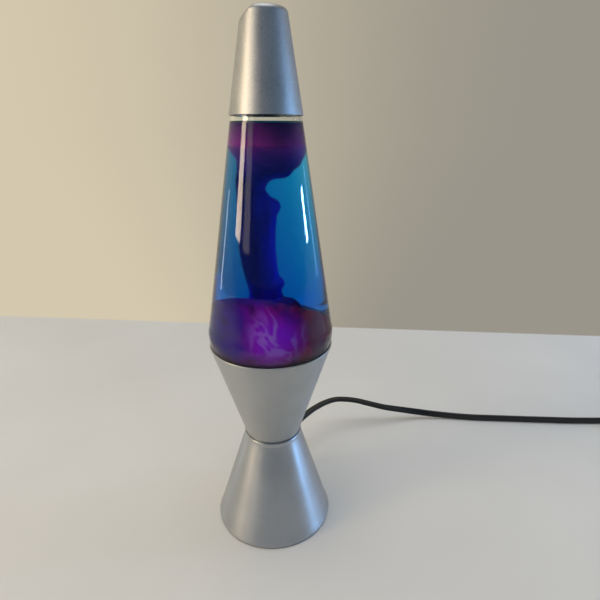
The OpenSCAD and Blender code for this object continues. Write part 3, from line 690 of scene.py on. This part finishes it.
def newFinish(name, sockets):
    material = bpy.data.materials.new(name)
    material.use_nodes = True
    tree = material.node_tree
    tree.nodes.clear()
    shader = addNode(tree, "ShaderNodeBsdfPrincipled", None, sockets)
    addNode(tree, "ShaderNodeOutputMaterial", None, {"Surface": shader.outputs[0]})
    return material, tree, shader


def giveFinish(material, *pieces):
    for piece in pieces:
        piece.data.materials.clear()
        piece.data.materials.append(material)


def spunAluminium(name, colours, roughness, anisotropy, turning):
    # Spun on a lathe and brushed: faint rings round the axis, and a highlight drawn out along them
    material, tree, shader = newFinish(name, {"Metallic": 1.0, "Anisotropic": anisotropy,
                                              "Anisotropic Rotation": 0.25})
    uv = addNode(tree, "ShaderNodeUVMap").outputs[0]
    place = addNode(tree, "ShaderNodeTexCoord").outputs["Object"]
    # Rings 0.25 mm apart, long in the turning direction
    stretched = addNode(tree, "ShaderNodeMapping", None, {"Vector": uv, "Scale": (3, 420, 1)}).outputs[0]
    rings = addNode(tree, "ShaderNodeTexNoise", {"noise_dimensions": "2D"},
                    {"Vector": stretched, "Scale": 1.0, "Detail": 3.0}).outputs[0]
    cloud = addNode(tree, "ShaderNodeTexNoise", None,
                    {"Vector": place, "Scale": 45.0, "Detail": 4.0}).outputs[0]
    both = addNode(tree, "ShaderNodeMath", timesPlus, {0: rings, 1: 0.5, 2: cloud}).outputs[0]
    colour = addNode(tree, "ShaderNodeValToRGB", {"stops": [(0.5, colours[0]), (1.0, colours[1])]},
                     {0: both})
    tree.links.new(colour.outputs[0], shader.inputs["Base Color"])
    rough = addNode(tree, "ShaderNodeMapRange", None,
                    {0: both, 1: 0.4, 2: 1.1, 3: roughness[0], 4: roughness[1]}).outputs[0]
    tree.links.new(rough, shader.inputs["Roughness"])
    bump = addNode(tree, "ShaderNodeBump", None,
                   {"Strength": turning, "Distance": 0.00002, "Height": rings}).outputs[0]
    tree.links.new(bump, shader.inputs["Normal"])
    around = addNode(tree, "ShaderNodeTangent", {"direction_type": "UV_MAP"}).outputs[0]
    tree.links.new(around, shader.inputs["Tangent"])
    return material


def grainedAluminium():
    # Etched and lacquered: an even fine grain, a broad soft highlight
    material, tree, shader = newFinish("etchedAluminium", {"Metallic": 1.0})
    place = addNode(tree, "ShaderNodeTexCoord").outputs["Object"]
    # Grain of 0.7 mm, as coarse as it has to be to show
    grain = addNode(tree, "ShaderNodeTexNoise", None,
                    {"Vector": place, "Scale": 1100.0, "Detail": 2.0}).outputs[0]
    cloud = addNode(tree, "ShaderNodeTexNoise", None,
                    {"Vector": place, "Scale": 60.0, "Detail": 3.0}).outputs[0]
    both = addNode(tree, "ShaderNodeMath", timesPlus, {0: cloud, 1: 0.6, 2: grain}).outputs[0]
    colour = addNode(tree, "ShaderNodeValToRGB", {"stops": [(0.5, "#a9abad"), (1.0, "#c0c2c4")]}, {0: both})
    tree.links.new(colour.outputs[0], shader.inputs["Base Color"])
    rough = addNode(tree, "ShaderNodeMapRange", None, {0: both, 1: 0.5, 2: 1.1, 3: 0.4, 4: 0.48}).outputs[0]
    tree.links.new(rough, shader.inputs["Roughness"])
    bump = addNode(tree, "ShaderNodeBump", None,
                   {"Strength": 0.7, "Distance": 0.00006, "Height": grain}).outputs[0]
    tree.links.new(bump, shader.inputs["Normal"])
    return material


def mouldedOrPlated(name, colours, metallic, roughness, scale, bumpMm):
    # Two tones of one colour with a fine cast or plated surface; scale is in patches a metre
    material, tree, shader = newFinish(name, {"Metallic": metallic})
    place = addNode(tree, "ShaderNodeTexCoord").outputs["Object"]
    noise = addNode(tree, "ShaderNodeTexNoise", None,
                    {"Vector": place, "Scale": scale, "Detail": 4.0}).outputs[0]
    colour = addNode(tree, "ShaderNodeValToRGB", {"stops": [(0.35, colours[0]), (0.65, colours[1])]},
                     {0: noise})
    tree.links.new(colour.outputs[0], shader.inputs["Base Color"])
    rough = addNode(tree, "ShaderNodeMapRange", None,
                    {0: noise, 1: 0.3, 2: 0.7, 3: roughness[0], 4: roughness[1]}).outputs[0]
    tree.links.new(rough, shader.inputs["Roughness"])
    bump = addNode(tree, "ShaderNodeBump", None,
                   {"Strength": 0.4, "Distance": bumpMm * mm, "Height": noise}).outputs[0]
    tree.links.new(bump, shader.inputs["Normal"])
    return material


def clearGlass(name, ior, tint, waves=0.0, haze=0.0):
    # Blown soda-lime glass; faint waves in its wall bend what shows through it
    material, tree, shader = newFinish(name, {"Transmission Weight": 1.0, "IOR": ior, "Roughness": haze,
                                              "Base Color": toLinear(tint)})
    if waves:
        place = addNode(tree, "ShaderNodeTexCoord").outputs["Object"]
        noise = addNode(tree, "ShaderNodeTexNoise", None,
                        {"Vector": place, "Scale": 60.0, "Detail": 1.0}).outputs[0]
        bump = addNode(tree, "ShaderNodeBump", None,
                       {"Strength": waves, "Distance": 0.0001, "Height": noise}).outputs[0]
        tree.links.new(bump, shader.inputs["Normal"])
    return material


liquidForm = {"density": 120.0, "colour": (0.0, 0.785, 0.975, 1.0), "ior": 1.36}


def dyedLiquid(name, ior):
    # Clear dyed water: all its colour comes from its depth
    material, tree, shader = newFinish(name, {"Transmission Weight": 1.0, "IOR": ior, "Roughness": 0.0,
                                              "Base Color": (1, 1, 1, 1)})
    depth = addNode(tree, "ShaderNodeVolumeAbsorption", None,
                    {"Color": liquidForm["colour"], "Density": liquidForm["density"]}).outputs[0]
    ending = next(n for n in tree.nodes if n.type == "OUTPUT_MATERIAL")
    tree.links.new(depth, ending.inputs["Volume"])
    return material


# The glow tone is painted light and the pale swirl tone a painted highlight; the other tones are the wax's
# own colours
waxTones = {
    "pool": ["#121868", "#3c1498", "#8c10b8", "#a20a54", "#640c44"], "poolDark": "#160848",
    "poolFloor": "#4a1038", "glow": "#a424ff", "highlightSwirl": "#c898ff", "column": "#3f3ad0",
    "columnDark": "#1f1660", "floating": ["#2c1a70", "#82248c", "#34125c"],
}


waxPlaces = {
    # Metres up from the table, each pair where a change of tone starts and ends
    "floor": (0.156, 0.164), "columnFoot": (0.193, 0.206), "floating": (0.268, 0.278),
    "floatingDepth": (0.276, 0.313),
    # Where the patch of painted light sits, and how far it reaches
    "glowAt": (0.004, -0.040, 0.176), "glowReach": (0.004, 0.025), "indigoToPlum": (-0.016, 0.062),
}


def purpleWax():
    # Dyed paraffin: slow clouds from indigo on the left to crimson on the right,
    # and a soft, slightly lit depth
    t, w = waxTones, waxPlaces
    material, tree, shader = newFinish("dyedParaffin", {"Roughness": 0.3, "IOR": 1.06,
                                                        "Subsurface Weight": 0.45, "Subsurface Scale": 0.006,
                                                        "Subsurface Radius": (1.0, 0.4, 0.9)})
    place = addNode(tree, "ShaderNodeTexCoord").outputs["Object"]
    axes = addNode(tree, "ShaderNodeSeparateXYZ", None, {0: place}).outputs
    cloud = addNode(tree, "ShaderNodeTexNoise", None,
                    {"Vector": place, "Scale": 38.0, "Detail": 2.5, "Distortion": 0.9}).outputs[0]
    # Left to right, shifted about by the clouds
    shift = addNode(tree, "ShaderNodeMath", timesPlus, {0: cloud, 1: 0.05, 2: axes[0]}).outputs[0]
    across = addNode(tree, "ShaderNodeMapRange", None,
                     {0: shift, 1: w["indigoToPlum"][0], 2: w["indigoToPlum"][1], 3: 0.0, 4: 1.0}).outputs[0]
    stops = [(0.0, t["pool"][0]), (0.84, t["pool"][4]), (0.26, t["pool"][1]), (0.46, t["pool"][2]),
             (0.64, t["pool"][3])]
    tone = addNode(tree, "ShaderNodeValToRGB", {"stops": stops}, {0: across}).outputs[0]
    dark = addNode(tree, "ShaderNodeMapRange", smooth,
                   {0: cloud, 1: 0.5, 2: 0.63, 3: 0.0, 4: 0.75}).outputs[0]
    pool = addNode(tree, "ShaderNodeMix", rgba, {0: dark, 6: tone, 7: toLinear(t["poolDark"])}).outputs[2]
    deep = addNode(tree, "ShaderNodeMapRange", smooth,
                   {0: axes[2], 1: w["floor"][0], 2: w["floor"][1], 3: 0.65, 4: 0.0}).outputs[0]
    pool = addNode(tree, "ShaderNodeMix", rgba,
                   {0: deep, 6: pool, 7: toLinear(t["poolFloor"])}).outputs[2]
    # A patch of painted light near the front of the pool, where light shows through the wax, with soft pale
    # swirls of painted highlight in it
    near = addNode(tree, "ShaderNodeVectorMath", {"operation": "DISTANCE"},
                   {0: place, 1: w["glowAt"]}).outputs["Value"]
    inside = addNode(tree, "ShaderNodeMapRange", smooth,
                     {0: near, 1: w["glowReach"][0], 2: w["glowReach"][1], 3: 0.9, 4: 0.0}).outputs[0]
    pool = addNode(tree, "ShaderNodeMix", rgba, {0: inside, 6: pool, 7: toLinear(t["glow"])}).outputs[2]
    # Pale swirls of painted highlight, only inside the patch of painted light
    wisp = addNode(tree, "ShaderNodeTexNoise", None,
                   {"Vector": place, "Scale": 42.0, "Detail": 2.0, "Distortion": 1.1}).outputs[0]
    off = addNode(tree, "ShaderNodeMath", {"operation": "SUBTRACT"}, {0: wisp, 1: 0.5}).outputs[0]
    size = addNode(tree, "ShaderNodeMath", {"operation": "ABSOLUTE"}, {0: off}).outputs[0]
    line = addNode(tree, "ShaderNodeMapRange", {"interpolation_type": "SMOOTHERSTEP"},
                   {0: size, 1: 0.0, 2: 0.085, 3: 0.62, 4: 0.0}).outputs[0]
    highlightSwirl = addNode(tree, "ShaderNodeMath", {"operation": "MULTIPLY"}, {0: line, 1: inside}).outputs[0]
    pool = addNode(tree, "ShaderNodeMix", rgba, {0: highlightSwirl, 6: pool, 7: toLinear(t["highlightSwirl"])}).outputs[2]
    # The column is bluer, and the mass under the surface plum with a dark edge below and above
    drawn = addNode(tree, "ShaderNodeMapping", None, {"Vector": place, "Scale": (150, 150, 28)}).outputs[0]
    streak = addNode(tree, "ShaderNodeTexNoise", None,
                     {"Vector": drawn, "Scale": 1.0, "Detail": 2.0}).outputs[0]
    lean = addNode(tree, "ShaderNodeMath", timesPlus, {0: streak, 1: 0.018, 2: axes[0]}).outputs[0]
    side = addNode(tree, "ShaderNodeMapRange", smooth,
                   {0: lean, 1: -0.003, 2: 0.016, 3: 0.0, 4: 0.85}).outputs[0]
    column = addNode(tree, "ShaderNodeMix", rgba,
                     {0: side, 6: toLinear(t["columnDark"]), 7: toLinear(t["column"])}).outputs[2]
    high = addNode(tree, "ShaderNodeMapRange", smooth,
                   {0: axes[2], 1: w["columnFoot"][0], 2: w["columnFoot"][1], 3: 0.0, 4: 1.0}).outputs[0]
    lower = addNode(tree, "ShaderNodeMix", rgba, {0: high, 6: pool, 7: column}).outputs[2]
    lift = addNode(tree, "ShaderNodeMath", timesPlus, {0: cloud, 1: 0.012, 2: axes[2]}).outputs[0]
    depth = addNode(tree, "ShaderNodeMapRange", None,
                    {0: lift, 1: w["floatingDepth"][0], 2: w["floatingDepth"][1], 3: 0.0, 4: 1.0}).outputs[0]
    top = addNode(tree, "ShaderNodeValToRGB",
                  {"stops": [(0.1, t["floating"][0]), (0.95, t["floating"][2]), (0.55, t["floating"][1])]},
                  {0: depth}).outputs[0]
    floats = addNode(tree, "ShaderNodeMapRange", smooth,
                     {0: axes[2], 1: w["floating"][0], 2: w["floating"][1], 3: 0.0, 4: 1.0}).outputs[0]
    whole = addNode(tree, "ShaderNodeMix", rgba, {0: floats, 6: lower, 7: top}).outputs[2]
    tree.links.new(whole, shader.inputs["Base Color"])
    return material


finishes = {
    "satin": spunAluminium("brushedAluminium", ("#b2b5b7", "#bcbfc1"), (0.42, 0.47), 0.6, 0.3),
    "shiny": spunAluminium("burnishedAluminium", ("#b2b5b9", "#bec1c4"), (0.36, 0.41), 0.7, 0.3),
    "cap": grainedAluminium(),
    "glass": clearGlass("sodaLimeGlass", 1.38, "#fbfffe", 0.05),
    "wetGlass": clearGlass("wetSodaLimeGlass", 1.10, "#ffffff", 0.0, 0.22),
    "liquid": dyedLiquid("dyedWater", 1.0),
    "surface": dyedLiquid("dyedWaterSurface", liquidForm["ior"]),
    "wax": purpleWax(),
    "pvc": mouldedOrPlated("mouldedPvc", ("#0a0a0b", "#121214"), 0.0, (0.36, 0.48), 900, 0.02),
    "abs": mouldedOrPlated("mouldedAbs", ("#0f0f11", "#1a1a1c"), 0.0, (0.38, 0.5), 1600, 0.015),
    "rocker": mouldedOrPlated("glossAbs", ("#0b0b0c", "#131315"), 0.0, (0.22, 0.3), 700, 0.005),
    "rubber": mouldedOrPlated("mouldedRubber", ("#1a1a1a", "#262524"), 0.0, (0.6, 0.75), 1200, 0.03),
    "zinc": mouldedOrPlated("zincPlatedSteel", ("#9a9da0", "#b9babb"), 1.0, (0.25, 0.42), 500, 0.01),
    "brass": mouldedOrPlated("drawnBrass", ("#b08d3c", "#cfae62"), 1.0, (0.22, 0.38), 400, 0.01),
    "solder": mouldedOrPlated("tinSolder", ("#a4a6a8", "#c4c6c8"), 1.0, (0.3, 0.45), 800, 0.02),
    "tungsten": mouldedOrPlated("drawnTungsten", ("#4a4b4e", "#66676a"), 1.0, (0.35, 0.5), 2000, 0.003),
    "porcelain": mouldedOrPlated("glazedPorcelain", ("#e9e5da", "#f4f1e9"), 0.0, (0.12, 0.25), 150, 0.02),
    "coverPaint": mouldedOrPlated("paintedSteel", ("#17181a", "#232427"), 0.0, (0.4, 0.55), 1300, 0.02),
    "tinplate": mouldedOrPlated("lacqueredTinplate", ("#b59a4e", "#cbb26a"), 1.0, (0.2, 0.34), 300, 0.008),
    "liner": mouldedOrPlated("pressedPolythene", ("#d8d9d4", "#e8e9e5"), 0.0, (0.4, 0.55), 500, 0.01),
    "coil": mouldedOrPlated("drawnSteelWire", ("#7d8084", "#a0a3a6"), 1.0, (0.25, 0.4), 900, 0.01),
    "wire": mouldedOrPlated("extrudedPvc", ("#101012", "#1b1b1e"), 0.0, (0.35, 0.5), 1000, 0.01),
    "blackGlass": mouldedOrPlated("blackVitrite", ("#0a0a0c", "#151518"), 0.0, (0.1, 0.2), 600, 0.008),
    "bulbGlass": clearGlass("bulbGlass", 1.5, "#ffffff", 0.03),
}
print(len(finishes), "finishes made")

# Which piece has which finish, and which body it rides on

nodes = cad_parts
cadFinishes = {
    "zinc": ["nipple", "lock_washer", "nipple_nut", "cover_clips", "cover_screws", "holder_screws",
             "switch_screw"],
    "brass": ["holder_contact", "holder_shell", "switch_contacts", "plug_blades", "bulb_screw_cap"],
    "wire": ["lead_wires"], "blackGlass": ["bulb_insulator"], "solder": ["bulb_tip"],
    "bulbGlass": ["bulb_stem", "bulb_glass"], "tungsten": ["bulb_filament"],
    "tinplate": ["crown_closure"], "liner": ["crown_liner"], "coil": ["wire_coil"],
}
for finish, names in cadFinishes.items():
    giveFinish(finishes[finish], *[nodes[n] for n in names])

giveFinish(finishes["satin"], cup)
giveFinish(finishes["shiny"], foot)
giveFinish(finishes["cap"], cap)
giveFinish(finishes["wax"], wax)
giveFinish(finishes["coverPaint"], bottomCover)
giveFinish(finishes["rubber"], feet)
giveFinish(finishes["porcelain"], holder)
giveFinish(finishes["abs"], switchLower, switchUpper)
giveFinish(finishes["rocker"], rocker)
giveFinish(finishes["pvc"], cord, relief, plugBody)
for material in ("glass", "wetGlass"):
    bottle.data.materials.append(finishes[material])
for material in ("liquid", "surface"):
    liquid.data.materials.append(finishes[material])

ribs = ribTree()
c = cordSize
rockerTop = Vector((c["switchX"] + c["switchLength"] / 2, c["switchY"], boxMm("switch_rocker")[1][2]))
tipped = Matrix.Rotation(math.radians(8), 4, "Y")
pin = Matrix.Translation(Vector((rockerTop.x, rockerTop.y, 13.4)) * mm)
rockerRibs = ribRow("rockerRibs", ribRows["rocker"], ribs, finishes["rocker"],
                    pin @ tipped @ Matrix.Translation(Vector((0, 0, 5.9)) * mm))
plugLow, plugHigh = boxMm("plug_body")
plugRibs = ribRow("plugRibs", ribRows["plug"], ribs, finishes["pvc"], Matrix.Translation(
    Vector((plugLow[0] + 12, (plugLow[1] + plugHigh[1]) / 2, plugHigh[2])) * mm))

riding = {
    "base": [cord, relief, foot, cup, bottomCover, feet, holder, switchLower, switchUpper, plugBody,
             plugRibs],
    "globe": [bottle, liquid, wax], "cap": [cap], "rocker": [rocker, rockerRibs],
}
for body, pieces in riding.items():
    for piece in pieces:
        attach(piece, body)

place, way = exitFrame()
print("pieces finished and riding")

# Pale floor, soft daylight from a tall window on the left, cooler light on the right

studio = {
    "floorRadius": 12.0, "shadeTone": "#44423f", "tableTones": ("#dbdbd9", "#e1e1df"),
    "tableDepth": 0.387, "tableTurn": 0.149, "edgeSoft": 0.003,
    "skyFront": "#5a6b7c", "skyLeft": "#d4c8ae", "skyRight": "#9a958a", "ceiling": 2.0,
    "window": {"angle": -72, "distance": 1.15, "low": 0.25, "high": 0.95, "width": 0.3, "power": 4.4,
               "tone": "#ffe4bd"},
    "windowSide": {"angle": -50, "distance": 1.15, "low": 0.25, "high": 0.95, "width": 0.32, "power": 1.4,
                   "tone": "#ffeed8"},
    "cool": {"angle": 94, "distance": 1.1, "low": 0.21, "high": 0.37, "width": 0.12, "power": 1.8,
             "tone": "#8ec4ff"},
    "coolWide": {"angle": 78, "distance": 1.1, "low": 0.06, "high": 0.5, "width": 0.12, "power": 3.8,
                 "tone": "#8cc4ff", "only": [foot, cap]},
    "windowGlint": {"angle": -72, "distance": 1.11, "low": 0.25, "high": 0.95, "width": 0.29, "power": 7.0,
                    "tone": "#ffe9cc", "only": [bottle]},
    "coolGlint": {"angle": 94, "distance": 1.06, "low": 0.21, "high": 0.36, "width": 0.12, "power": 3.0,
                  "tone": "#a8d2ff", "only": [bottle]},
    "warmSoft": {"angle": -60, "distance": 1.15, "low": 0.25, "high": 0.95, "width": 0.3, "power": 0.8,
                 "tone": "#ffefca", "only": [cap]},
    "coolBack": {"angle": 114, "distance": 1.1, "low": 0.05, "high": 0.4, "width": 0.08, "power": 0.5,
                 "tone": "#84b4fb"},
    "leftBack": {"angle": -112, "distance": 1.1, "low": 0.02, "high": 0.32, "width": 0.04, "power": 0.35,
                 "tone": "#e9f2ff"},
}


def makeFloor():
    s = studio
    ring = [0.0, 0.5, 1.2, 3.0, s["floorRadius"]]
    outline = [(r * 1000, -0.05) for r in ring[::-1]]
    floor = lathe("floor", outline, closed=False, segments=64)
    material, tree, shader = newFinish("paleTabletop", {"Roughness": 0.6, "Specular IOR Level": 0.3})
    place = addNode(tree, "ShaderNodeTexCoord").outputs["Object"]
    noise = addNode(tree, "ShaderNodeTexNoise", None,
                    {"Vector": place, "Scale": 6.0, "Detail": 5.0}).outputs[0]
    tone = addNode(tree, "ShaderNodeValToRGB",
                   {"stops": [(0.3, s["tableTones"][0]), (0.7, s["tableTones"][1])]}, {0: noise}).outputs[0]
    axes = addNode(tree, "ShaderNodeSeparateXYZ", None, {0: place}).outputs
    # The near side of the room lies in shade, so the lower glass mirrors little
    shade = addNode(tree, "ShaderNodeMapRange", smooth,
                    {0: axes[1], 1: -1.0, 2: -0.35, 3: 1.0, 4: 0.0}).outputs[0]
    tone = addNode(tree, "ShaderNodeMix", rgba,
                   {0: shade, 6: tone, 7: toLinear(s["shadeTone"])}).outputs[2]
    tree.links.new(tone, shader.inputs["Base Color"])
    # Past the table's back edge it shows the sky's own beige as a backdrop that glows with its own light,
    # painted lighter on the left where the window light falls, and no horizon
    length = addNode(tree, "ShaderNodeVectorMath", {"operation": "LENGTH"}, {0: place}).outputs["Value"]
    aside = addNode(tree, "ShaderNodeMath", {"operation": "DIVIDE"}, {0: axes[0], 1: length}).outputs[0]
    across = addNode(tree, "ShaderNodeMapRange", smooth,
                     {0: aside, 1: -0.5, 2: 0.5, 3: 0.0, 4: 1.0}).outputs[0]
    beige = addNode(tree, "ShaderNodeMix", rgba,
                    {0: across, 6: toLinear(s["skyLeft"]), 7: toLinear(s["skyRight"])}).outputs[2]
    along = addNode(tree, "ShaderNodeMath", timesPlus,
                    {0: axes[0], 1: s["tableTurn"], 2: axes[1]}).outputs[0]
    past = addNode(tree, "ShaderNodeMapRange", smooth,
                   {0: along, 1: s["tableDepth"] - s["edgeSoft"], 2: s["tableDepth"] + s["edgeSoft"],
                    3: 0.0, 4: 1.0}).outputs[0]
    glow = addNode(tree, "ShaderNodeEmission", None, {"Color": beige}).outputs[0]
    both = addNode(tree, "ShaderNodeMixShader", None, {0: past, 1: shader.outputs[0], 2: glow}).outputs[0]
    ending = next(n for n in tree.nodes if n.type == "OUTPUT_MATERIAL")
    tree.links.new(both, ending.inputs["Surface"])
    giveFinish(material, floor)


def makeWindow(name):
    s = studio[name]
    data = bpy.data.lights.new(name, "AREA")
    data.shape = "RECTANGLE"
    data.size, data.size_y = s["width"], s["high"] - s["low"]
    data.energy = s["power"]
    data.color = toLinear(s["tone"])[:3]
    light = bpy.data.objects.new(name, data)
    a = math.radians(s["angle"])
    at = Vector((math.sin(a) * s["distance"], -math.cos(a) * s["distance"], (s["low"] + s["high"]) / 2))
    turn = (Vector((0, 0, 0.24)) - at).to_track_quat("-Z", "Y").to_matrix().to_4x4()
    light.matrix_world = Matrix.Translation(at) @ turn
    bpy.context.scene.collection.objects.link(light)
    light.visible_camera = False
    if s.get("only"):
        # A strip of light that only these pieces are turned to catch
        lit = bpy.data.collections.new(name + "Catches")
        for piece in s["only"]:
            lit.objects.link(piece)
        light.light_linking.receiver_collection = lit


def makeSky():
    s = studio
    world = bpy.data.worlds.new("studioSky")
    bpy.context.scene.world = world
    world.use_nodes = True
    tree = world.node_tree
    tree.nodes.clear()
    way = addNode(tree, "ShaderNodeTexCoord").outputs["Generated"]
    axes = addNode(tree, "ShaderNodeSeparateXYZ", None, {0: way}).outputs
    # Lighter on the left, dim slate on the front side, and a bright ceiling
    across = addNode(tree, "ShaderNodeMapRange", smooth,
                     {0: axes[0], 1: -0.5, 2: 0.5, 3: 0.0, 4: 1.0}).outputs[0]
    wall = addNode(tree, "ShaderNodeMix", rgba,
                   {0: across, 6: toLinear(s["skyLeft"]), 7: toLinear(s["skyRight"])}).outputs[2]
    back = addNode(tree, "ShaderNodeMapRange", smooth,
                   {0: axes[1], 1: -0.5, 2: 0.4, 3: 0.0, 4: 1.0}).outputs[0]
    beige = addNode(tree, "ShaderNodeMix", rgba,
                    {0: back, 6: toLinear(s["skyFront"]), 7: wall}).outputs[2]
    up = addNode(tree, "ShaderNodeMapRange", smooth,
                 {0: axes[2], 1: 0.86, 2: 0.96, 3: 0.0, 4: 1.0}).outputs[0]
    white = [s["ceiling"]] * 3 + [1.0]
    tone = addNode(tree, "ShaderNodeMix", rgba, {0: up, 6: beige, 7: white}).outputs[2]
    sky = addNode(tree, "ShaderNodeBackground", None, {"Color": tone}).outputs[0]
    addNode(tree, "ShaderNodeOutputWorld", None, {"Surface": sky})


makeFloor()
for name in ("window", "windowSide", "windowGlint", "warmSoft", "cool", "coolWide", "coolGlint",
             "coolBack", "leftBack"):
    makeWindow(name)
makeSky()
view = bpy.context.scene.view_settings
view.view_transform = "Standard"
view.look = "None"
print("studio lit")
